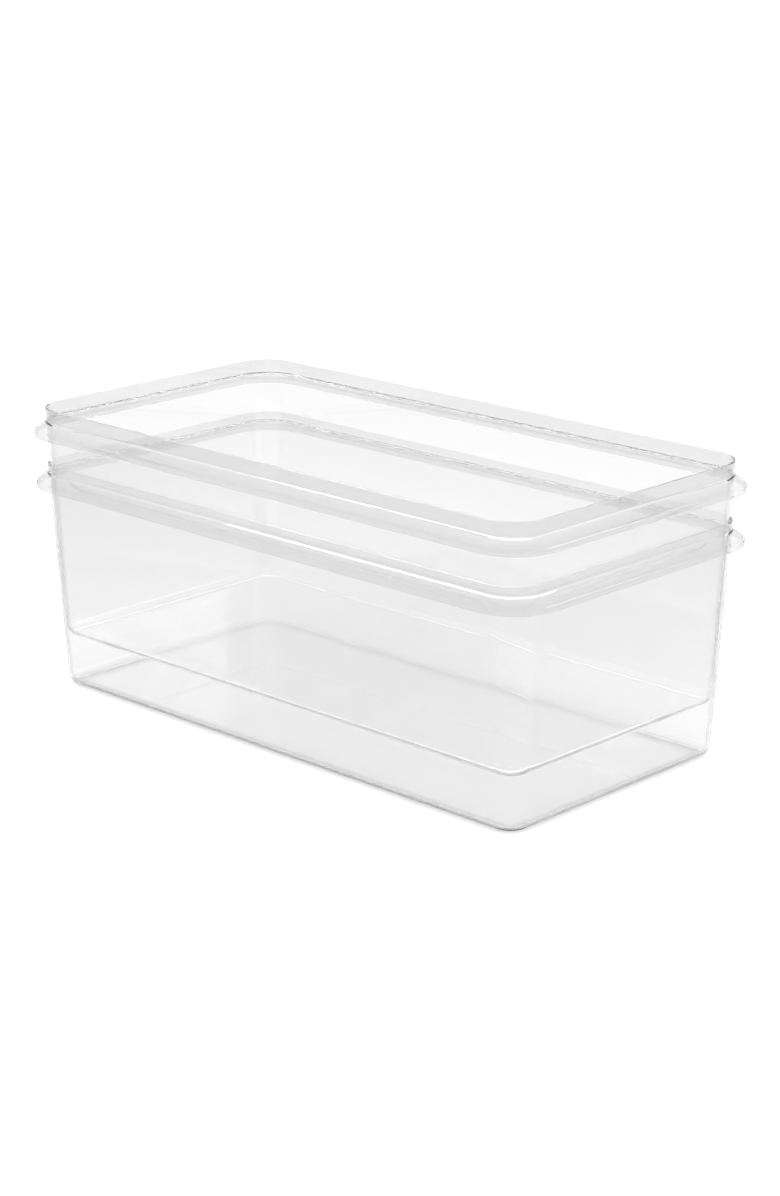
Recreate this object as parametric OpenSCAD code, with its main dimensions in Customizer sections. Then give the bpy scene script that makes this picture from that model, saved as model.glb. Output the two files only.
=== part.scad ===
// Fridge bin: two clear moulded bins with drafted walls, one nested inside the other.
// Each bin is one profile carried round a rounded rectangle, with a flat plate between the corners.
// Millimetres, +Z up. The origin is the centre of the outer bin's base.

/* [Bin] */
// Length over the upright faces of the rim
rim_length = 320; // [220:1:420]
// Width over the upright faces of the rim
rim_width = 162; // [110:1:260]
// Height of the outer bin, base to top edge
bin_height = 115.5; // [90:0.5:125]
// Radius of the upright corners, at the top edge
corner_r = 18; // [16:0.5:24]
// Lean of the walls from the vertical, in degrees
draft = 3.5; // [2:0.1:4.2]
// Thickness of the walls and the floor
wall = 1.25; // [1:0.05:1.8]
// Outside radius where the walls meet the base
base_fillet_r = 6; // [3:0.5:6]

/* [Rim] */
// Height of the outer bin's collar, above its flange
outer_collar = 4.2; // [3:0.1:9]
// Height of the inner bin's collar, above its flange
inner_collar = 6.8; // [3:0.1:9]
// How far the flange stands out from the rim
flange_reach = 5.7; // [5:0.1:8]
// Slope of the flange's top, in degrees below level
flange_slope = 36; // [25:1:45]
// Outside radius where the flange turns down into its skirt
flange_turn_r = 2.2; // [2:0.1:2.6]
// Length of the skirt's upright part
skirt_length = 1.4; // [0.5:0.1:4]
// Radius of the hollow between the collar and the flange
root_fillet_r = 1.2; // [0.6:0.1:1.5]

/* [Nesting] */
// Level gap between the two bins' walls when they are nested
nest_gap = 0.33; // [0.3:0.01:0.5]

/* [Hidden] */
arc_steps = 8;
corner_fn = 96;
clear_plastic = [0.90, 0.94, 0.95, 0.45];

// Centres of the upright corners
corner_x = rim_length / 2 - corner_r;
corner_y = rim_width / 2 - corner_r;

// Outside face of a wall, as its distance from the corner's axis: at the base, and at height z
foot_r = corner_r - bin_height * tan(draft);
function wall_r(z) = foot_r + z * tan(draft);

// The flange starts at the same height on both bins
flange_root_z = bin_height - outer_collar;

// Drafted walls stop one bin inside the other where they would touch, less the gap
nest_rise = (wall / cos(draft) + nest_gap) / tan(draft);

// Directions in the profile: out from the wall, along the flange's top, and square to that top
wall_normal = [cos(draft), -sin(draft)];
slope_along = [cos(flange_slope), -sin(flange_slope)];
slope_normal = [sin(flange_slope), cos(flange_slope)];

// Where the flange's top meets the wall, and the centre of the turn into the skirt
flange_root = [wall_r(flange_root_z), flange_root_z];
flange_edge_r = corner_r + flange_reach;
turn_r = flange_edge_r - flange_turn_r;
slope_length = (turn_r - flange_root[0] + flange_turn_r * slope_normal[0]) / slope_along[0];
turn_centre = flange_root + slope_length * slope_along - flange_turn_r * slope_normal;
skirt_end = [flange_edge_r - wall / 2, turn_centre[1] - skirt_length];

// Where the flange's underside meets the wall
under_drop = wall / (slope_normal[1] + slope_normal[0] * tan(draft));
under_root = [wall_r(flange_root_z - under_drop), flange_root_z - under_drop];

// Centre of the hollow at the root: root_fillet_r out from the wall and from the flange's top
root_spread = cross(wall_normal, slope_normal);
root_fillet_c = flange_root + root_fillet_r / root_spread
    * [slope_normal[1] - wall_normal[1], wall_normal[0] - slope_normal[0]];

base_fillet_c = [foot_r + base_fillet_r * (tan(draft) - 1 / cos(draft)), base_fillet_r];

function arc(centre, r, from, to) =
    [for (i = [0:arc_steps]) let (a = from + (to - from) * i / arc_steps) centre + r * [cos(a), sin(a)]];

// Profile of floor, wall, flange and collar, from the corner's axis outwards, for a bin this high
function bin_profile(height) =
    let (top_c = [wall_r(height - wall / 2) - wall / 2 / cos(draft), height - wall / 2])
    concat(
        [[0, 0]],
        arc(base_fillet_c, base_fillet_r, -90, -draft),
        [under_root],
        arc(turn_centre, flange_turn_r - wall, 90 - flange_slope, 0),
        arc(skirt_end, wall / 2, -180, 0),
        arc(turn_centre, flange_turn_r, 0, 90 - flange_slope),
        arc(root_fillet_c, root_fillet_r, 270 - flange_slope, 180 - draft),
        arc(top_c, wall / 2, -draft, 180 - draft),
        arc(base_fillet_c, base_fillet_r - wall, -draft, -90),
        [[0, wall]]
    );

// A straight wall of the given length, whose profile faces +Y
module straight_wall(profile, length) {
    translate([length / 2, 0, 0])
        rotate([90, 0, -90])
            linear_extrude(height = length)
                mirror([1, 0]) polygon(profile);
}

module bin(height) {
    profile = bin_profile(height);
    translate([-corner_x, -corner_y, 0]) cube([2 * corner_x, 2 * corner_y, wall]);
    for (turn = [0, 180]) rotate([0, 0, turn]) {
        translate([0, corner_y, 0]) straight_wall(profile, 2 * corner_x);
        translate([corner_x, 0, 0]) rotate([0, 0, -90]) straight_wall(profile, 2 * corner_y);
        translate([corner_x, corner_y, 0])
            rotate_extrude(angle = 90, $fn = corner_fn) polygon(profile);
        translate([corner_x, -corner_y, 0]) rotate([0, 0, -90])
            rotate_extrude(angle = 90, $fn = corner_fn) polygon(profile);
    }
}

module outer_bin() {
    color(clear_plastic) bin(bin_height);
}

module inner_bin() {
    color(clear_plastic) translate([0, 0, nest_rise]) bin(flange_root_z + inner_collar);
}

outer_bin();
inner_bin();
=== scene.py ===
"""Two clear fridge bins, one nested in the other, standing on a plain studio floor."""

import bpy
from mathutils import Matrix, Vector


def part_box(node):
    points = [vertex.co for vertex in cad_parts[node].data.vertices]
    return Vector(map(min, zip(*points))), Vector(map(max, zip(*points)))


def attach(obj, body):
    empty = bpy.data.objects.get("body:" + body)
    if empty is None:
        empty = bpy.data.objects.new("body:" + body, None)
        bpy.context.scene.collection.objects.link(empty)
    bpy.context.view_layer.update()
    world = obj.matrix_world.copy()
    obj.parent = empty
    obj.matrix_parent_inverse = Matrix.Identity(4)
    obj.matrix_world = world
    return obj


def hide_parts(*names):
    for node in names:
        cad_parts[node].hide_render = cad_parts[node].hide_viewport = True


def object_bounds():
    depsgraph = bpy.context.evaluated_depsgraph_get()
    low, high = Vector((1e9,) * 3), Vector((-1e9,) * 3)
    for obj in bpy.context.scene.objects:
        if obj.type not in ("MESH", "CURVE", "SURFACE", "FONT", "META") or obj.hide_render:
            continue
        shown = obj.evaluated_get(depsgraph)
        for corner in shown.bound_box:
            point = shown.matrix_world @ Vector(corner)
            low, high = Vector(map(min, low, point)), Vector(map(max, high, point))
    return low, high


bl_info = {
    "name": "Nesting Fridge Bins",
    "version": (1, 0, 0),
    "blender": (4, 5, 0),
    "location": "View3D > Sidebar > Fridge Bins",
    "description": "Builds a pair of nested clear bins, their moulded plastic and a plain studio",
    "category": "Add Mesh",
}

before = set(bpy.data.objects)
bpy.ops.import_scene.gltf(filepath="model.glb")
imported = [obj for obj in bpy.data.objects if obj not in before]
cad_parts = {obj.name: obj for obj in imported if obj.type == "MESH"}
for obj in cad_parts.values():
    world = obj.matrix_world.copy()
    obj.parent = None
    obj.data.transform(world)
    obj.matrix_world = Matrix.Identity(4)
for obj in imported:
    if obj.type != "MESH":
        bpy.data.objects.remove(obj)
CAD_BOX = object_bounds()

import math

import bpy
from bpy.props import (
    FloatProperty,
    FloatVectorProperty,
    IntProperty,
    PointerProperty,
)
from mathutils import Vector

FLANGE_REACH = 0.0057
OUTER_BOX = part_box("outer_bin")
INNER_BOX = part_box("inner_bin")
MERGE_DISTANCE = 1e-6

# Sizes of the noise patterns, in repeats to the metre
GRAIN_SCALE = 900.0
CLOUD_SCALE = 9.0
SPECK_SCALE = 220.0
RIPPLE_SCALE = 22.0

# Marks on the plastic
HAIRLINE_WIDTH = 0.006
SPECK_RARITY = 0.9
DUST_COLOUR = (0.35, 0.35, 0.36, 1)
OUTER_SEED = (0, 0, 0)
INNER_SEED = (1.7, 0.9, 2.3)

# Powers of a face's upward tilt: the first leaves only level faces, which get the painted shade of
# the floors, the second only near-level ones, which the darker outline leaves out
LEVEL_POWER = 24.0
NEAR_LEVEL_POWER = 8.0

# The overhead light
OVERHEAD_ANGLE = math.radians(60)
OVERHEAD_HEIGHT = 3.0


# Sizes and finishes


class BinShape(bpy.types.PropertyGroup):
    """The sizes that both bins share"""

    rim_length: FloatProperty(
        name="Rim length",
        description="Outside length of the walls where they meet the rim, without the flange",
        default=OUTER_BOX[1].x - OUTER_BOX[0].x - 2 * FLANGE_REACH,
        unit="LENGTH",
    )
    rim_width: FloatProperty(
        name="Rim width",
        description="Outside width of the walls where they meet the rim, without the flange",
        default=OUTER_BOX[1].y - OUTER_BOX[0].y - 2 * FLANGE_REACH,
        unit="LENGTH",
    )
    height: FloatProperty(
        name="Height",
        description="Height of the outer bin",
        default=OUTER_BOX[1].z - OUTER_BOX[0].z,
        unit="LENGTH",
    )
    corner_radius: FloatProperty(
        name="Corner radius",
        description="Outside radius of the upright corners at the rim",
        default=0.018,
        unit="LENGTH",
    )
    draft: FloatProperty(
        name="Draft",
        description="Lean of the walls that lets the bins nest",
        default=math.radians(3.5),
        subtype="ANGLE",
    )
    wall: FloatProperty(
        name="Wall",
        description="Thickness of the moulded wall",
        default=0.00125,
        unit="LENGTH",
    )
    base_fillet: FloatProperty(
        name="Base fillet",
        description="Outside radius where the walls turn into the floor",
        default=0.006,
        unit="LENGTH",
    )
    collar: FloatProperty(
        name="Collar",
        description="Height of the outer bin's wall above the root of its flange",
        default=0.0042,
        unit="LENGTH",
    )
    flange_reach: FloatProperty(
        name="Flange reach",
        description="How far the flange stands out past the wall",
        default=FLANGE_REACH,
        unit="LENGTH",
    )
    flange_slope: FloatProperty(
        name="Flange slope",
        description="Fall of the flange away from the wall",
        default=math.radians(36),
        subtype="ANGLE",
    )
    flange_turn: FloatProperty(
        name="Flange turn",
        description="Outside radius where the flange turns down into its skirt",
        default=0.0022,
        unit="LENGTH",
    )
    skirt: FloatProperty(
        name="Skirt",
        description="Straight drop of the skirt under the flange",
        default=0.0014,
        unit="LENGTH",
    )
    root_fillet: FloatProperty(
        name="Root fillet",
        description="Radius of the hollow where the flange leaves the wall",
        default=0.0012,
        unit="LENGTH",
    )
    corner_steps: IntProperty(
        name="Corner steps",
        description="Faces round each upright corner",
        default=24,
        min=4,
    )
    arc_steps: IntProperty(
        name="Arc steps",
        description="Faces round each small radius of the section",
        default=10,
        min=3,
    )
    rub_reach: FloatProperty(
        name="Rub reach",
        description="How far the handling wear spreads from the rim, the flange and the base",
        default=0.006,
        unit="LENGTH",
    )


class ClearPlastic(bpy.types.PropertyGroup):
    """The finish of the clear moulded plastic, with painted shade on the collar, flange and level
    faces, and darker outlines
    """

    outer_tint: FloatVectorProperty(
        name="Outer bin tint",
        description="Light that one wall of the outer bin passes",
        subtype="COLOR",
        default=(0.995, 0.995, 0.995),
        min=0,
        max=1,
    )
    inner_tint: FloatVectorProperty(
        name="Inner bin tint",
        description="Light that one wall of the inner bin passes",
        subtype="COLOR",
        default=(0.995, 0.995, 0.995),
        min=0,
        max=1,
    )
    # Painted shade: the level faces, floors and rim tops, are drawn darker, so that the floors read
    # darker than the walls.
    level_face_painted_shade: FloatVectorProperty(
        name="Floor tint",
        description="Light that a level face passes, next to the wall",
        subtype="COLOR",
        default=(0.97, 0.97, 0.97),
        min=0,
        max=1,
    )
    # Painted shade: the collar band of each bin is drawn darker than its walls, the inner bin's
    # more than the outer's.
    outer_collar_painted_shade: FloatVectorProperty(
        name="Outer collar tint",
        description="Light that the collar of the outer bin passes, next to the wall",
        subtype="COLOR",
        default=(0.88, 0.88, 0.88),
        min=0,
        max=1,
    )
    inner_collar_painted_shade: FloatVectorProperty(
        name="Inner collar tint",
        description="Light that the collar of the inner bin passes, next to the wall",
        subtype="COLOR",
        default=(0.8, 0.8, 0.8),
        min=0,
        max=1,
    )
    # Painted shade: the flange is drawn darker than the walls.
    flange_painted_shade: FloatVectorProperty(
        name="Flange tint",
        description="Light that the flange passes, next to the wall",
        subtype="COLOR",
        default=(0.86, 0.86, 0.86),
        min=0,
        max=1,
    )
    flange_haze: FloatProperty(
        name="Flange haze",
        description="Roughness that the flange has over the walls",
        default=0.03,
        subtype="FACTOR",
        min=0,
        max=1,
    )
    lamp_tint: FloatVectorProperty(
        name="Lamp tint",
        description="Lamp light that passes each face of the plastic to what lies behind",
        subtype="COLOR",
        default=(0.972, 0.972, 0.972),
        min=0,
        max=1,
    )
    foot_shade: FloatVectorProperty(
        name="Foot shade",
        description="Lamp light that passes the rounded foot, which draws the shade round the base",
        subtype="COLOR",
        default=(0.8, 0.8, 0.8),
        min=0,
        max=1,
    )
    # Darker where the wall is seen edge-on: partly the longer path of light through the plastic,
    # partly painted shade that draws the dark outlines.
    edge_absorption_and_shade: FloatVectorProperty(
        name="Edge tint",
        description="Light left after a long path along the wall, as at an outline",
        subtype="COLOR",
        default=(0.3, 0.3, 0.3),
        min=0,
        max=1,
    )
    edge_falloff: FloatProperty(
        name="Edge falloff",
        description="How closely the darker edge keeps to the outline",
        default=3.5,
        min=1,
    )
    ior: FloatProperty(
        name="Refractive index",
        description="Refractive index of the clear plastic, which sets its gloss",
        default=1.5,
        min=1,
    )
    outer_bend: FloatProperty(
        name="Outer bin bend",
        description="Index that bends light in the outer bin, kept low so that little is trapped",
        default=1.15,
        min=1,
    )
    inner_bend: FloatProperty(
        name="Inner bin bend",
        description="Index that bends light in the inner bin, higher so that its rim reads darker",
        default=1.24,
        min=1,
    )
    polish: FloatProperty(
        name="Polish",
        description="Roughness of the untouched plastic",
        default=0.012,
        subtype="FACTOR",
        min=0,
        max=1,
    )
    haze: FloatProperty(
        name="Haze",
        description="Roughness that handling adds where the haze is strongest",
        default=0.05,
        subtype="FACTOR",
        min=0,
        max=1,
    )
    scratches: FloatProperty(
        name="Scratches",
        description="Depth of the hairline scratches",
        default=0.00001,
        unit="LENGTH",
    )
    ripple: FloatProperty(
        name="Ripple",
        description="Depth of the slow ripple that moulding leaves in the walls",
        default=0.00002,
        unit="LENGTH",
    )


class Studio(bpy.types.PropertyGroup):
    """The floor, the light and the camera"""

    floor_size: FloatProperty(
        name="Floor size",
        description="Side of the square floor",
        default=30.0,
        unit="LENGTH",
    )
    floor_colour: FloatVectorProperty(
        name="Floor colour",
        description="Colour of the plain floor",
        subtype="COLOR",
        default=(0.95, 0.95, 0.95),
        min=0,
        max=1,
    )
    floor_behind: FloatVectorProperty(
        name="Floor behind plastic",
        description="Colour of the floor where it is seen through the bins or mirrored in them",
        subtype="COLOR",
        default=(0.78, 0.78, 0.78),
        min=0,
        max=1,
    )
    sky_light: FloatProperty(
        name="Sky light",
        description="Brightness of the soft light from overhead",
        default=0.9,
    )
    backdrop_light: FloatProperty(
        name="Backdrop light",
        description="Brightness near the horizon behind the bins",
        default=1.0,
    )
    room_light: FloatProperty(
        name="Room light",
        description="Brightness near the horizon in front of the bins",
        default=0.5,
    )
    overhead_light: FloatProperty(
        name="Overhead light",
        description="Strength of the wide overhead light, which the plastic doesn't mirror",
        default=1.2,
    )
    side_place: FloatVectorProperty(
        name="Side box place",
        description="Where the side box hangs",
        subtype="XYZ",
        default=(1.1, 0.8, 0.8),
        unit="LENGTH",
    )
    side_power: FloatProperty(
        name="Side box power",
        description="Power of the side box",
        default=3.0,
        unit="POWER",
    )
    side_size: FloatProperty(
        name="Side box size",
        description="Side of the square side box",
        default=0.7,
        unit="LENGTH",
    )
    strip_place: FloatVectorProperty(
        name="Back strip place",
        description="Where the strip behind the bins hangs",
        subtype="XYZ",
        default=(-1.5, 1.56, 1.25),
        unit="LENGTH",
    )
    strip_power: FloatProperty(
        name="Back strip power",
        description="Power of the strip behind the bins",
        default=8.0,
        unit="POWER",
    )
    strip_size: FloatVectorProperty(
        name="Back strip size",
        description="Width and height of the strip",
        size=2,
        default=(1.4, 0.3),
        unit="LENGTH",
    )
    azimuth: FloatProperty(
        name="Azimuth",
        description="Camera's place round the bins, from straight in front",
        default=math.radians(43.76),
        subtype="ANGLE",
    )
    elevation: FloatProperty(
        name="Elevation",
        description="Camera's height above the horizon, as an angle",
        default=math.radians(17.19),
        subtype="ANGLE",
    )
    distance: FloatProperty(
        name="Distance",
        description="Camera's distance from the point it looks at",
        default=1.3106,
        unit="LENGTH",
    )
    lens: FloatProperty(
        name="Lens",
        description="Focal length of the camera, in millimetres",
        default=81.75,
        subtype="DISTANCE_CAMERA",
    )
    aim: FloatVectorProperty(
        name="Aim",
        description="The point the camera looks at, from the middle of the nested bins",
        default=(0.0086, 0.0, -0.0095),
        subtype="TRANSLATION",
        unit="LENGTH",
    )


# Helpers for node trees


def add_node(tree, kind, inputs=None, **settings):
    """Adds a node, sets its settings, and fills its inputs with values or with links."""
    made = tree.nodes.new(kind)
    made.location = (200 * len(tree.nodes), 0)
    for name, value in settings.items():
        setattr(made, name, value)
    for name, value in (inputs or {}).items():
        if isinstance(value, bpy.types.NodeSocket):
            tree.links.new(value, made.inputs[name])
        else:
            made.inputs[name].default_value = value
    return made


def add_socket(tree, name, kind, direction, default=None):
    """Adds one named socket to a node group and gives it its default."""
    made = tree.interface.new_socket(name, in_out=direction, socket_type=kind)
    if default is not None:
        made.default_value = default
    return made


# Geometry of a bin


def arc(centre, radius, start, end, steps):
    """Points round a circle between two angles in radians."""
    angles = [start + (end - start) * i / steps for i in range(steps + 1)]
    return [centre + radius * Vector((math.cos(a), math.sin(a))) for a in angles]


def bin_section(shape, height):
    """Half section of a bin, as distances from the upright corner's axis and heights.

    It runs from the underside of the floor up the outside, round the flange and the rim,
    and down the inside to the top of the floor.
    """
    lean = math.tan(shape.draft)
    foot = shape.corner_radius - shape.height * lean
    quarter = math.pi / 2
    half_wall = shape.wall / 2

    def wall_at(level):
        return Vector((foot + level * lean, level))

    wall_normal = Vector((math.cos(shape.draft), -math.sin(shape.draft)))
    roof_along = Vector((math.cos(shape.flange_slope), -math.sin(shape.flange_slope)))
    roof_normal = Vector((math.sin(shape.flange_slope), math.cos(shape.flange_slope)))
    root_level = shape.height - shape.collar
    root = wall_at(root_level)
    edge = shape.corner_radius + shape.flange_reach
    turn_distance = edge - shape.flange_turn
    roof_length = turn_distance - root.x + shape.flange_turn * roof_normal.x
    turn = root + roof_along * (roof_length / roof_along.x) - roof_normal * shape.flange_turn
    skirt_end = Vector((edge - half_wall, turn.y - shape.skirt))
    under_drop = shape.wall / (roof_normal.y + roof_normal.x * lean)
    spread = wall_normal.x * roof_normal.y - wall_normal.y * roof_normal.x
    off_root = Vector((roof_normal.y - wall_normal.y, wall_normal.x - roof_normal.x))
    hollow = root + off_root * (shape.root_fillet / spread)
    foot_to_centre = lean - 1 / math.cos(shape.draft)
    heel = Vector((foot + shape.base_fillet * foot_to_centre, shape.base_fillet))
    rim_level = height - half_wall
    rim = wall_at(rim_level) - Vector((half_wall / math.cos(shape.draft), 0))
    turned = quarter - shape.flange_slope
    steps = shape.arc_steps

    points = [Vector((0, 0))]
    points += arc(heel, shape.base_fillet, -quarter, -shape.draft, steps)
    points += [wall_at(root_level - under_drop)]
    points += arc(turn, shape.flange_turn - shape.wall, turned, 0, steps)
    points += arc(skirt_end, half_wall, -math.pi, 0, steps)
    points += arc(turn, shape.flange_turn, 0, turned, steps)
    points += arc(hollow, shape.root_fillet, turned + math.pi, math.pi - shape.draft, steps)
    points += arc(rim, half_wall, -shape.draft, math.pi - shape.draft, steps)
    points += arc(heel, shape.base_fillet - shape.wall, -shape.draft, -quarter, steps)
    points += [Vector((0, shape.wall))]

    rubbed = [rim, skirt_end, turn, Vector((heel.x, 0))]
    return points, rubbed


def section_mesh(name, shape, height, base):
    """The section as a line of edges, which carries how much handling rubs each point."""
    points, rubbed = bin_section(shape, height)
    # A sweep hangs its section down from the path, so heights go in as negative numbers.
    places = [(p.x - shape.corner_radius, -(p.y + base), 0) for p in points]
    edges = [(i, i + 1) for i in range(len(places) - 1)]
    mesh = bpy.data.meshes.new(name)
    mesh.from_pydata(places, edges, [])
    # The collar and flange zones mark where the plastic is drawn darker as painted shade; the rub
    # zone marks handling wear and the foot zone dims lamp light round the base.
    zones = {
        "rub": [1 - min((p - place).length for place in rubbed) / shape.rub_reach for p in points],
        "collar": [float(p.y > shape.height - shape.collar) for p in points],
        "flange": [float(p.x > shape.corner_radius + shape.wall / 2) for p in points],
        "foot": [float(0 < p.x and p.y < shape.base_fillet / 2) for p in points],
    }
    for zone, values in zones.items():
        data = mesh.attributes.new(zone, "FLOAT", "POINT").data
        data.foreach_set("value", [max(0.0, value) for value in values])
    return mesh


def corner_sweep_tree():
    """Turns a half section into a bin: spun into a round tub, then pushed out to four corners."""
    tree = bpy.data.node_groups.new("Corner sweep", "GeometryNodeTree")
    add_socket(tree, "Section", "NodeSocketGeometry", "INPUT")
    add_socket(tree, "Corner Radius", "NodeSocketFloat", "INPUT", 0.018)
    add_socket(tree, "Corner Steps", "NodeSocketInt", "INPUT", 24)
    add_socket(tree, "Axis Length", "NodeSocketFloat", "INPUT", 0.3)
    add_socket(tree, "Axis Width", "NodeSocketFloat", "INPUT", 0.15)
    add_socket(tree, "Base", "NodeSocketFloat", "INPUT", 0.0)
    add_socket(tree, "Wall", "NodeSocketFloat", "INPUT", 0.001)
    add_socket(tree, "Sharp Angle", "NodeSocketFloat", "INPUT", math.radians(40))
    add_socket(tree, "Material", "NodeSocketMaterial", "INPUT")
    add_socket(tree, "Bin", "NodeSocketGeometry", "OUTPUT")
    given = add_node(tree, "NodeGroupInput").outputs

    def math_node(operation, first, second):
        made = add_node(tree, "ShaderNodeMath", {0: first, 1: second}, operation=operation)
        return made.outputs[0]

    # The path is a circle turned by half a step, so no point of it lies between two corners.
    ring_points = math_node("MULTIPLY", given["Corner Steps"], 4)
    ring = add_node(
        tree,
        "GeometryNodeCurvePrimitiveCircle",
        {"Resolution": ring_points, "Radius": given["Corner Radius"]},
    )
    half_step = math_node("DIVIDE", math.pi, ring_points)
    turn = add_node(tree, "ShaderNodeCombineXYZ", {"Z": half_step})
    turned = add_node(
        tree,
        "GeometryNodeTransform",
        {"Geometry": ring.outputs["Curve"], "Rotation": turn.outputs[0]},
    )

    # Each point remembers which corner it belongs to.
    place = add_node(tree, "GeometryNodeInputPosition")
    side = add_node(
        tree, "ShaderNodeVectorMath", {0: place.outputs[0]}, operation="SIGN"
    )
    half_length = math_node("MULTIPLY", given["Axis Length"], 0.5)
    half_width = math_node("MULTIPLY", given["Axis Width"], 0.5)
    reach = add_node(tree, "ShaderNodeCombineXYZ", {"X": half_length, "Y": half_width})
    push = add_node(
        tree,
        "ShaderNodeVectorMath",
        {0: side.outputs[0], 1: reach.outputs[0]},
        operation="MULTIPLY",
    )
    keep = add_node(tree, "GeometryNodeCaptureAttribute", domain="POINT")
    keep.capture_items.new("VECTOR", "Push")
    tree.links.new(turned.outputs[0], keep.inputs["Geometry"])
    tree.links.new(push.outputs[0], keep.inputs["Push"])

    section = add_node(tree, "GeometryNodeMeshToCurve", {"Mesh": given["Section"]})
    sweep = add_node(
        tree,
        "GeometryNodeCurveToMesh",
        {"Curve": keep.outputs["Geometry"], "Profile Curve": section.outputs["Curve"]},
    )
    walls = add_node(
        tree,
        "GeometryNodeSetPosition",
        {"Geometry": sweep.outputs["Mesh"], "Offset": keep.outputs["Push"]},
    )

    # The floor is flat between the four corner axes.
    def floor_sheet(level):
        sheet = add_node(
            tree,
            "GeometryNodeMeshGrid",
            {
                "Size X": given["Axis Length"],
                "Size Y": given["Axis Width"],
                "Vertices X": 2,
                "Vertices Y": 2,
            },
        )
        lift = add_node(tree, "ShaderNodeCombineXYZ", {"Z": level})
        moved = add_node(
            tree,
            "GeometryNodeTransform",
            {"Geometry": sheet.outputs["Mesh"], "Translation": lift.outputs[0]},
        )
        return moved.outputs[0]

    # The sweep and the underside both come out facing inwards, so they are turned over together.
    inward = add_node(tree, "GeometryNodeJoinGeometry")
    for part in (floor_sheet(given["Base"]), walls.outputs[0]):
        tree.links.new(part, inward.inputs[0])
    outward = add_node(tree, "GeometryNodeFlipFaces", {"Mesh": inward.outputs[0]})
    joined = add_node(tree, "GeometryNodeJoinGeometry")
    for part in (floor_sheet(math_node("ADD", given["Base"], given["Wall"])), outward.outputs[0]):
        tree.links.new(part, joined.inputs[0])
    merged = add_node(
        tree,
        "GeometryNodeMergeByDistance",
        {"Geometry": joined.outputs[0], "Distance": MERGE_DISTANCE},
    )
    smooth = add_node(tree, "GeometryNodeSetShadeSmooth", {"Geometry": merged.outputs[0]})
    # Only the corner under the flange is sharp. Every other turn of the section is an arc.
    angle = add_node(tree, "GeometryNodeInputMeshEdgeAngle")
    sharp = math_node("GREATER_THAN", angle.outputs["Unsigned Angle"], given["Sharp Angle"])
    creased = add_node(
        tree,
        "GeometryNodeSetShadeSmooth",
        {"Geometry": smooth.outputs[0], "Selection": sharp, "Shade Smooth": False},
        domain="EDGE",
    )
    real = add_node(tree, "GeometryNodeRealizeInstances", {"Geometry": creased.outputs[0]})
    painted = add_node(
        tree,
        "GeometryNodeSetMaterial",
        {"Geometry": real.outputs[0], "Material": given["Material"]},
    )
    add_node(tree, "NodeGroupOutput", {"Bin": painted.outputs[0]})
    return tree


def set_input(modifier, name, value):
    """Sets a Geometry Nodes input by the identifier of the socket with that name."""
    for item in modifier.node_group.interface.items_tree:
        if item.name == name and item.in_out == "INPUT":
            modifier[item.identifier] = value
            return
    raise KeyError(name)


def make_bin(name, shape, box, material):
    """Sweeps one bin between the heights of its box and returns it as a plain mesh object."""
    height = box[1].z - box[0].z
    section = section_mesh(name + "_section", shape, height, box[0].z)
    maker = bpy.data.objects.new(name + "_maker", section)
    bpy.context.scene.collection.objects.link(maker)
    sweep = maker.modifiers.new("Corner sweep", "NODES")
    sweep.node_group = bpy.data.node_groups.get("Corner sweep") or corner_sweep_tree()
    inputs = {
        "Corner Radius": shape.corner_radius,
        "Corner Steps": shape.corner_steps,
        "Axis Length": shape.rim_length - 2 * shape.corner_radius,
        "Axis Width": shape.rim_width - 2 * shape.corner_radius,
        "Base": box[0].z,
        "Wall": shape.wall,
        "Material": material,
    }
    for label, value in inputs.items():
        set_input(sweep, label, value)
    # Large flat faces set the shading, so the walls and the floor stay optically flat.
    flat = maker.modifiers.new("Flat walls", "WEIGHTED_NORMAL")
    flat.weight = 100
    flat.keep_sharp = True
    graph = bpy.context.evaluated_depsgraph_get()
    mesh = bpy.data.meshes.new_from_object(maker.evaluated_get(graph))
    mesh.name = name
    bpy.data.objects.remove(maker)
    bpy.data.meshes.remove(section)
    piece = bpy.data.objects.new(name, mesh)
    bpy.context.scene.collection.objects.link(piece)
    return piece


# Clear plastic


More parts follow.
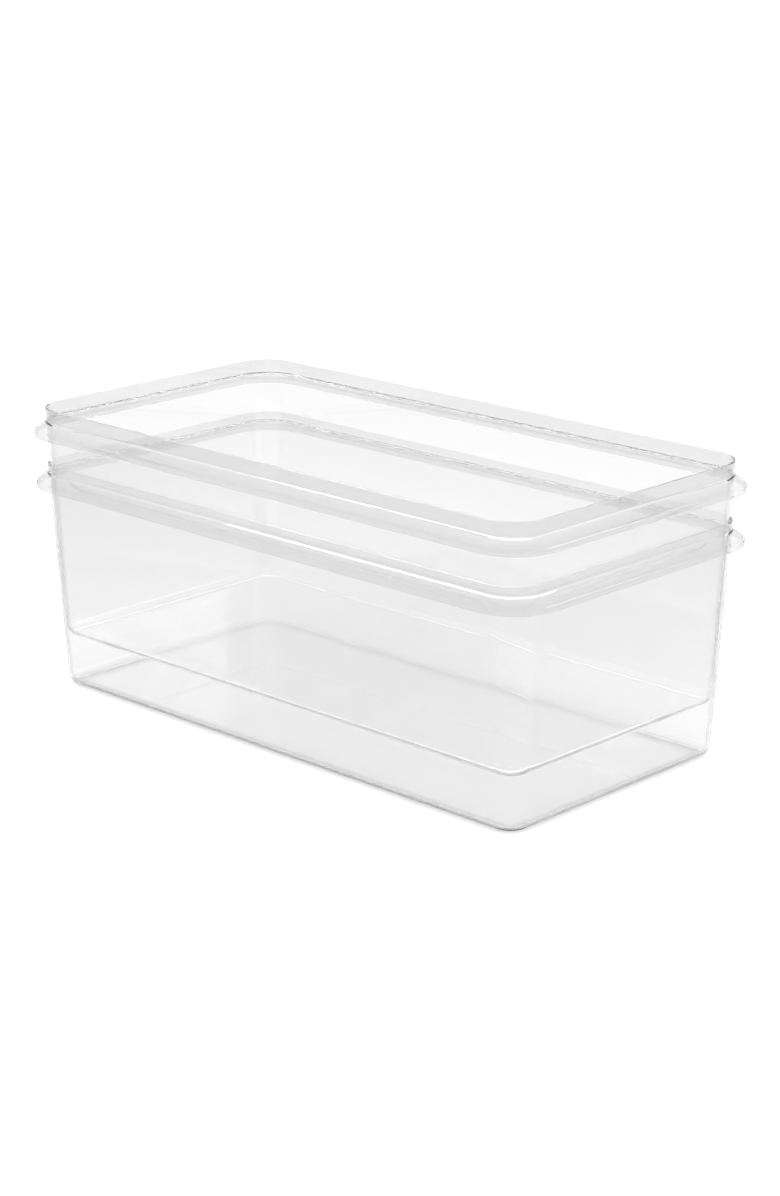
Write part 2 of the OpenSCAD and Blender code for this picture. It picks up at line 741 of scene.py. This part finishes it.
def handling_marks_group():
    """Haze from handling and hairline scratches, as a roughness and a height."""
    tree = bpy.data.node_groups.new("Handling marks", "ShaderNodeTree")
    add_socket(tree, "Vector", "NodeSocketVector", "INPUT")
    add_socket(tree, "Rub", "NodeSocketFloat", "INPUT", 0.0)
    add_socket(tree, "Polish", "NodeSocketFloat", "INPUT", 0.01)
    add_socket(tree, "Haze", "NodeSocketFloat", "INPUT", 0.05)
    add_socket(tree, "Haze Scale", "NodeSocketFloat", "INPUT", 18.0)
    add_socket(tree, "Scratch Scale", "NodeSocketFloat", "INPUT", 30.0)
    add_socket(tree, "Roughness", "NodeSocketFloat", "OUTPUT")
    add_socket(tree, "Scratches", "NodeSocketFloat", "OUTPUT")
    given = add_node(tree, "NodeGroupInput").outputs

    smears = add_node(
        tree,
        "ShaderNodeTexNoise",
        {"Vector": given["Vector"], "Scale": given["Haze Scale"], "Detail": 6.0, "Distortion": 0.6},
    )
    patches = add_node(
        tree,
        "ShaderNodeMapRange",
        {"Value": smears.outputs["Fac"], "From Min": 0.5, "From Max": 0.75},
        interpolation_type="SMOOTHSTEP",
    )
    cells = add_node(
        tree,
        "ShaderNodeTexVoronoi",
        {"Vector": given["Vector"], "Scale": given["Scratch Scale"]},
        feature="DISTANCE_TO_EDGE",
    )
    hairlines = add_node(
        tree,
        "ShaderNodeMapRange",
        {
            "Value": cells.outputs["Distance"],
            "From Min": 0.0,
            "From Max": HAIRLINE_WIDTH,
            "To Min": 1.0,
            "To Max": 0.0,
        },
    )
    scarce = add_node(
        tree,
        "ShaderNodeMapRange",
        {"Value": smears.outputs["Fac"], "From Min": 0.55, "From Max": 0.68},
    )
    scratches = add_node(
        tree,
        "ShaderNodeMath",
        {0: hairlines.outputs[0], 1: scarce.outputs[0]},
        operation="MULTIPLY",
    )
    grain = add_node(
        tree,
        "ShaderNodeTexNoise",
        {"Vector": given["Vector"], "Scale": GRAIN_SCALE, "Detail": 2.0},
    )
    worn = add_node(
        tree,
        "ShaderNodeMath",
        {0: given["Rub"], 1: grain.outputs["Fac"]},
        operation="MULTIPLY",
    )
    soiled = add_node(
        tree,
        "ShaderNodeMath",
        {0: patches.outputs[0], 1: worn.outputs[0]},
        operation="MAXIMUM",
    )
    marked = add_node(
        tree,
        "ShaderNodeMath",
        {0: soiled.outputs[0], 1: scratches.outputs[0]},
        operation="MAXIMUM",
    )
    roughness = add_node(
        tree,
        "ShaderNodeMath",
        {0: marked.outputs[0], 1: given["Haze"], 2: given["Polish"]},
        operation="MULTIPLY_ADD",
    )
    add_node(
        tree,
        "NodeGroupOutput",
        {"Roughness": roughness.outputs[0], "Scratches": scratches.outputs[0]},
    )
    return tree


def dust_tint_group():
    """Faint clouding and sparse specks of dust in the colour of the plastic."""
    tree = bpy.data.node_groups.new("Dust and clouding", "ShaderNodeTree")
    add_socket(tree, "Vector", "NodeSocketVector", "INPUT")
    add_socket(tree, "Tint", "NodeSocketColor", "INPUT", (1, 1, 1, 1))
    add_socket(tree, "Clouding", "NodeSocketFloat", "INPUT", 0.02)
    add_socket(tree, "Specks", "NodeSocketFloat", "INPUT", 0.1)
    add_socket(tree, "Colour", "NodeSocketColor", "OUTPUT")
    given = add_node(tree, "NodeGroupInput").outputs
    clouds = add_node(
        tree,
        "ShaderNodeTexNoise",
        {"Vector": given["Vector"], "Scale": CLOUD_SCALE, "Detail": 3.0},
    )
    clouding = add_node(
        tree,
        "ShaderNodeMath",
        {0: clouds.outputs["Fac"], 1: given["Clouding"]},
        operation="MULTIPLY",
    )
    dots = add_node(
        tree,
        "ShaderNodeTexVoronoi",
        {"Vector": given["Vector"], "Scale": SPECK_SCALE},
    )
    small = add_node(
        tree,
        "ShaderNodeMapRange",
        {
            "Value": dots.outputs["Distance"],
            "From Min": 0.03,
            "From Max": 0.07,
            "To Min": 1.0,
            "To Max": 0.0,
        },
    )
    chosen = add_node(tree, "ShaderNodeSeparateColor", {"Color": dots.outputs["Color"]})
    rare = add_node(
        tree,
        "ShaderNodeMath",
        {0: chosen.outputs[0], 1: SPECK_RARITY},
        operation="GREATER_THAN",
    )
    specks = add_node(
        tree,
        "ShaderNodeMath",
        {0: small.outputs[0], 1: rare.outputs[0]},
        operation="MULTIPLY",
    )
    shade = add_node(
        tree,
        "ShaderNodeMath",
        {0: specks.outputs[0], 1: given["Specks"], 2: clouding.outputs[0]},
        operation="MULTIPLY_ADD",
    )
    colour = add_node(
        tree,
        "ShaderNodeMix",
        {"Factor": shade.outputs[0], "B": DUST_COLOUR},
        data_type="RGBA",
    )
    tree.links.new(given["Tint"], colour.inputs[6])
    add_node(tree, "NodeGroupOutput", {"Colour": colour.outputs[2]})
    return tree


def group_named(name, maker):
    """The node group of that name, made the first time it is asked for."""
    return bpy.data.node_groups.get(name) or maker()


def multiply_where(tree, mask, colour, tint):
    """Multiplies a colour by a tint where the mask is 1, and returns the socket of the result."""
    mix = add_node(tree, "ShaderNodeMix", {"Factor": mask}, data_type="RGBA", blend_type="MULTIPLY")
    if isinstance(colour, bpy.types.NodeSocket):
        tree.links.new(colour, mix.inputs[6])
    else:
        mix.inputs[6].default_value = (*colour, 1)
    mix.inputs[7].default_value = (*tint, 1)
    return mix.outputs[2]


def clear_plastic(name, finish, tint, collar_painted_shade, bend, seed_offset):
    """Clear injection-moulded plastic that refracts what is behind it and lets lamps through, with
    painted shade on its collar, flange and level faces, and darker outlines.
    """
    material = bpy.data.materials.new(name)
    material.use_nodes = True
    tree = material.node_tree
    tree.nodes.clear()
    coordinates = add_node(tree, "ShaderNodeTexCoord")
    pattern = add_node(
        tree,
        "ShaderNodeMapping",
        {"Vector": coordinates.outputs["Object"], "Location": seed_offset},
    )
    rub = add_node(tree, "ShaderNodeAttribute", attribute_name="rub")
    marks = add_node(
        tree,
        "ShaderNodeGroup",
        node_tree=group_named("Handling marks", handling_marks_group),
    )
    tree.links.new(pattern.outputs[0], marks.inputs["Vector"])
    tree.links.new(rub.outputs["Fac"], marks.inputs["Rub"])
    marks.inputs["Polish"].default_value = finish.polish
    marks.inputs["Haze"].default_value = finish.haze
    dust = add_node(
        tree,
        "ShaderNodeGroup",
        node_tree=group_named("Dust and clouding", dust_tint_group),
    )
    tree.links.new(pattern.outputs[0], dust.inputs["Vector"])
    dust.inputs["Tint"].default_value = (*tint, 1)
    colour = dust.outputs["Colour"]
    # Painted shade: the collar and the flange are drawn darker than the walls.
    for zone, tint in (("collar", collar_painted_shade), ("flange", finish.flange_painted_shade)):
        where = add_node(tree, "ShaderNodeAttribute", attribute_name=zone)
        colour = multiply_where(tree, where.outputs["Fac"], colour, tint)
    # Darker outline where an upright face is seen edge-on: partly the longer path through the
    # plastic, partly painted shade.
    facing = add_node(tree, "ShaderNodeLayerWeight", {"Blend": 0.5})
    grazing = add_node(
        tree,
        "ShaderNodeMath",
        {0: facing.outputs["Facing"], 1: finish.edge_falloff},
        operation="POWER",
    )
    surface = add_node(tree, "ShaderNodeNewGeometry")
    axes = add_node(tree, "ShaderNodeSeparateXYZ", {"Vector": surface.outputs["True Normal"]})
    level = add_node(tree, "ShaderNodeMath", {0: axes.outputs["Z"]}, operation="ABSOLUTE")
    near_level = add_node(
        tree, "ShaderNodeMath", {0: level.outputs[0], 1: NEAR_LEVEL_POWER}, operation="POWER"
    )
    upright = add_node(
        tree, "ShaderNodeMath", {0: 1.0, 1: near_level.outputs[0]}, operation="SUBTRACT"
    )
    outline = add_node(
        tree,
        "ShaderNodeMath",
        {0: grazing.outputs[0], 1: upright.outputs[0]},
        operation="MULTIPLY",
    )
    colour = multiply_where(tree, outline.outputs[0], colour, finish.edge_absorption_and_shade)
    # Painted shade: level faces, the floors and the rim tops, are drawn darker.
    flat = add_node(
        tree, "ShaderNodeMath", {0: level.outputs[0], 1: LEVEL_POWER}, operation="POWER"
    )
    colour = multiply_where(tree, flat.outputs[0], colour, finish.level_face_painted_shade)

    flow = add_node(
        tree,
        "ShaderNodeTexNoise",
        {"Vector": pattern.outputs[0], "Scale": RIPPLE_SCALE, "Detail": 1.0},
    )
    rippled = add_node(
        tree,
        "ShaderNodeBump",
        {"Height": flow.outputs["Fac"], "Strength": 1.0, "Distance": finish.ripple},
    )
    scored = add_node(
        tree,
        "ShaderNodeBump",
        {
            "Height": marks.outputs["Scratches"],
            "Normal": rippled.outputs[0],
            "Strength": 1.0,
            "Distance": finish.scratches,
        },
        invert=True,
    )
    flange = add_node(tree, "ShaderNodeAttribute", attribute_name="flange")
    softened = add_node(
        tree,
        "ShaderNodeMath",
        {0: flange.outputs["Fac"], 1: finish.flange_haze, 2: marks.outputs["Roughness"]},
        operation="MULTIPLY_ADD",
    )
    plastic = add_node(
        tree,
        "ShaderNodeBsdfPrincipled",
        {
            "Base Color": colour,
            "Roughness": softened.outputs[0],
            "Normal": scored.outputs[0],
            "IOR": bend,
            "Transmission Weight": 1.0,
            "Coat Weight": 1.0,
            "Coat IOR": finish.ior,
            "Coat Roughness": finish.polish,
        },
    )
    foot = add_node(tree, "ShaderNodeAttribute", attribute_name="foot")
    passed = multiply_where(tree, foot.outputs["Fac"], finish.lamp_tint, finish.foot_shade)
    lamplight = add_node(tree, "ShaderNodeBsdfTransparent", {"Color": passed})
    rays = add_node(tree, "ShaderNodeLightPath")
    lit = add_node(
        tree,
        "ShaderNodeMixShader",
        {0: rays.outputs["Is Shadow Ray"], 1: plastic.outputs[0], 2: lamplight.outputs[0]},
    )
    soft_lit = add_node(
        tree,
        "ShaderNodeMixShader",
        {0: rays.outputs["Is Diffuse Ray"], 1: lit.outputs[0], 2: lamplight.outputs[0]},
    )
    add_node(tree, "ShaderNodeOutputMaterial", {"Surface": soft_lit.outputs[0]})
    return material


# Floor, light and camera


def floor_material(studio):
    """Matt pale floor, which the camera sees as lit paper and the plastic sees a little dimmer."""
    material = bpy.data.materials.new("Pale floor")
    material.use_nodes = True
    tree = material.node_tree
    paint = tree.nodes["Principled BSDF"]
    rays = add_node(tree, "ShaderNodeLightPath")
    seen = add_node(
        tree, "ShaderNodeMix", {"Factor": rays.outputs["Is Camera Ray"]}, data_type="RGBA"
    )
    seen.inputs[6].default_value = (*studio.floor_behind, 1)
    seen.inputs[7].default_value = (*studio.floor_colour, 1)
    tree.links.new(seen.outputs[2], paint.inputs["Base Color"])
    paint.inputs["Roughness"].default_value = 0.9
    paint.inputs["Specular IOR Level"].default_value = 0.1
    return material


def make_floor(studio):
    """A large flat floor under the bins."""
    half = studio.floor_size / 2
    level = CAD_BOX[0].z
    corners = [(-half, -half), (half, -half), (half, half), (-half, half)]
    mesh = bpy.data.meshes.new("studio_floor")
    mesh.from_pydata([(x, y, level) for x, y in corners], [], [(0, 1, 2, 3)])
    mesh.materials.append(floor_material(studio))
    floor = bpy.data.objects.new("studio_floor", mesh)
    bpy.context.scene.collection.objects.link(floor)


def make_sky(studio):
    """Soft light from overhead, dim near the horizon in front of the bins and bright near the
    horizon behind them.
    """
    world = bpy.data.worlds.new("Soft studio")
    bpy.context.scene.world = world
    world.use_nodes = True
    tree = world.node_tree
    tree.nodes.clear()
    direction = add_node(tree, "ShaderNodeTexCoord")
    axes = add_node(tree, "ShaderNodeSeparateXYZ", {"Vector": direction.outputs["Generated"]})
    towards_room = add_node(
        tree,
        "ShaderNodeVectorMath",
        {
            0: direction.outputs["Generated"],
            1: (math.sin(studio.azimuth), -math.cos(studio.azimuth), 0),
        },
        operation="DOT_PRODUCT",
    )
    horizon = add_node(
        tree,
        "ShaderNodeMapRange",
        {
            "Value": towards_room.outputs["Value"],
            "From Min": -0.3,
            "From Max": 0.3,
            "To Min": studio.backdrop_light,
            "To Max": studio.room_light,
        },
        interpolation_type="SMOOTHSTEP",
    )
    strength = add_node(
        tree,
        "ShaderNodeMapRange",
        {
            "Value": axes.outputs["Z"],
            "From Min": math.sin(math.radians(10)),
            "From Max": math.sin(math.radians(30)),
            "To Min": horizon.outputs[0],
            "To Max": studio.sky_light,
        },
        interpolation_type="SMOOTHSTEP",
    )
    sky = add_node(
        tree,
        "ShaderNodeBackground",
        {"Color": (1, 1, 1, 1), "Strength": strength.outputs[0]},
    )
    add_node(tree, "ShaderNodeOutputWorld", {"Surface": sky.outputs[0]})


def heading_vector(heading, height):
    """A direction from a heading, turned from straight in front, and an angle above the horizon."""
    level = math.cos(height)
    return Vector((math.sin(heading) * level, -math.cos(heading) * level, math.sin(height)))


def make_box_light(name, place, power, width, height):
    """A soft box that faces the middle of the bins."""
    data = bpy.data.lights.new(name, "AREA")
    data.shape = "RECTANGLE"
    data.size = width
    data.size_y = height
    data.energy = power
    box = bpy.data.objects.new(name, data)
    bpy.context.scene.collection.objects.link(box)
    box.location = place
    aim = (CAD_BOX[0] + CAD_BOX[1]) / 2 - box.location
    box.rotation_euler = aim.to_track_quat("-Z", "Y").to_euler()


def make_overhead(studio):
    """A wide, even light from above that fills the floor and leaves no mirror image."""
    data = bpy.data.lights.new("Overhead light", "SUN")
    data.energy = studio.overhead_light
    data.angle = OVERHEAD_ANGLE
    overhead = bpy.data.objects.new("Overhead light", data)
    bpy.context.scene.collection.objects.link(overhead)
    overhead.location = (0, 0, OVERHEAD_HEIGHT)
    overhead.visible_glossy = False
    overhead.visible_transmission = False


def make_camera(studio):
    """The camera, placed round the middle of the nested bins."""
    data = bpy.data.cameras.new("Camera")
    data.lens = studio.lens
    data.clip_end = studio.floor_size
    camera = bpy.data.objects.new("Camera", data)
    bpy.context.scene.collection.objects.link(camera)
    middle = (CAD_BOX[0] + CAD_BOX[1]) / 2
    back = heading_vector(studio.azimuth, studio.elevation)
    camera.location = middle + Vector(studio.aim) + back * studio.distance
    camera.rotation_euler = (-back).to_track_quat("-Z", "Y").to_euler()
    bpy.context.scene.camera = camera


def set_light_paths():
    """Enough bounces for light to cross eight clear walls, and plain tones."""
    scene = bpy.context.scene
    scene.view_settings.view_transform = "Standard"
    scene.cycles.max_bounces = 32
    scene.cycles.transmission_bounces = 32
    scene.cycles.glossy_bounces = 8
    scene.cycles.diffuse_bounces = 2
    scene.cycles.caustics_reflective = False
    scene.cycles.caustics_refractive = False
    scene.cycles.transparent_max_bounces = 48


# Operators


class OuterBinOperator(bpy.types.Operator):
    """Make the outer bin, which stands on the floor and holds the inner one"""

    bl_idname = "fridge_bins.outer_bin"
    bl_label = "Outer Bin"

    def execute(self, context):
        scene = context.scene
        finish = scene.clear_plastic
        plastic = clear_plastic(
            "Outer bin plastic",
            finish,
            finish.outer_tint,
            finish.outer_collar_painted_shade,
            finish.outer_bend,
            OUTER_SEED,
        )
        outer = make_bin("outer_bin_shell", scene.bin_shape, OUTER_BOX, plastic)
        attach(outer, "outer")
        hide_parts("outer_bin")
        return {"FINISHED"}


class InnerBinOperator(bpy.types.Operator):
    """Make the inner bin, which lifts straight out of the outer one"""

    bl_idname = "fridge_bins.inner_bin"
    bl_label = "Inner Bin"

    def execute(self, context):
        scene = context.scene
        finish = scene.clear_plastic
        plastic = clear_plastic(
            "Inner bin plastic",
            finish,
            finish.inner_tint,
            finish.inner_collar_painted_shade,
            finish.inner_bend,
            INNER_SEED,
        )
        inner = make_bin("inner_bin_shell", scene.bin_shape, INNER_BOX, plastic)
        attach(inner, "inner")
        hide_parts("inner_bin")
        return {"FINISHED"}


class StudioOperator(bpy.types.Operator):
    """Make the plain floor, the soft light and the camera"""

    bl_idname = "fridge_bins.studio"
    bl_label = "Studio"

    def execute(self, context):
        studio = context.scene.bin_studio
        make_floor(studio)
        make_sky(studio)
        make_overhead(studio)
        side = studio.side_size
        make_box_light("Side box", studio.side_place, studio.side_power, side, side)
        make_box_light("Back strip", studio.strip_place, studio.strip_power, *studio.strip_size)
        make_camera(studio)
        set_light_paths()
        return {"FINISHED"}


class BinPanel(bpy.types.Panel):
    """Sizes, finish and studio of the nested bins"""

    bl_idname = "VIEW3D_PT_fridge_bins"
    bl_label = "Fridge Bins"
    bl_space_type = "VIEW_3D"
    bl_region_type = "UI"
    bl_category = "Fridge Bins"

    def draw(self, context):
        scene = context.scene
        for settings in (scene.bin_shape, scene.clear_plastic, scene.bin_studio):
            box = self.layout.box()
            for name in settings.bl_rna.properties.keys():
                if name not in ("rna_type", "name"):
                    box.prop(settings, name)
        for operator in (OuterBinOperator, InnerBinOperator, StudioOperator):
            self.layout.operator(operator.bl_idname)


CLASSES = (
    BinShape,
    ClearPlastic,
    Studio,
    OuterBinOperator,
    InnerBinOperator,
    StudioOperator,
    BinPanel,
)


def register():
    for cls in CLASSES:
        bpy.utils.register_class(cls)
    bpy.types.Scene.bin_shape = PointerProperty(type=BinShape)
    bpy.types.Scene.clear_plastic = PointerProperty(type=ClearPlastic)
    bpy.types.Scene.bin_studio = PointerProperty(type=Studio)


def unregister():
    del bpy.types.Scene.bin_studio
    del bpy.types.Scene.clear_plastic
    del bpy.types.Scene.bin_shape
    for cls in reversed(CLASSES):
        bpy.utils.unregister_class(cls)


def main():
    register()
    bpy.ops.fridge_bins.studio()
    bpy.ops.fridge_bins.outer_bin()
    bpy.ops.fridge_bins.inner_bin()


if __name__ == "__main__":
    main()
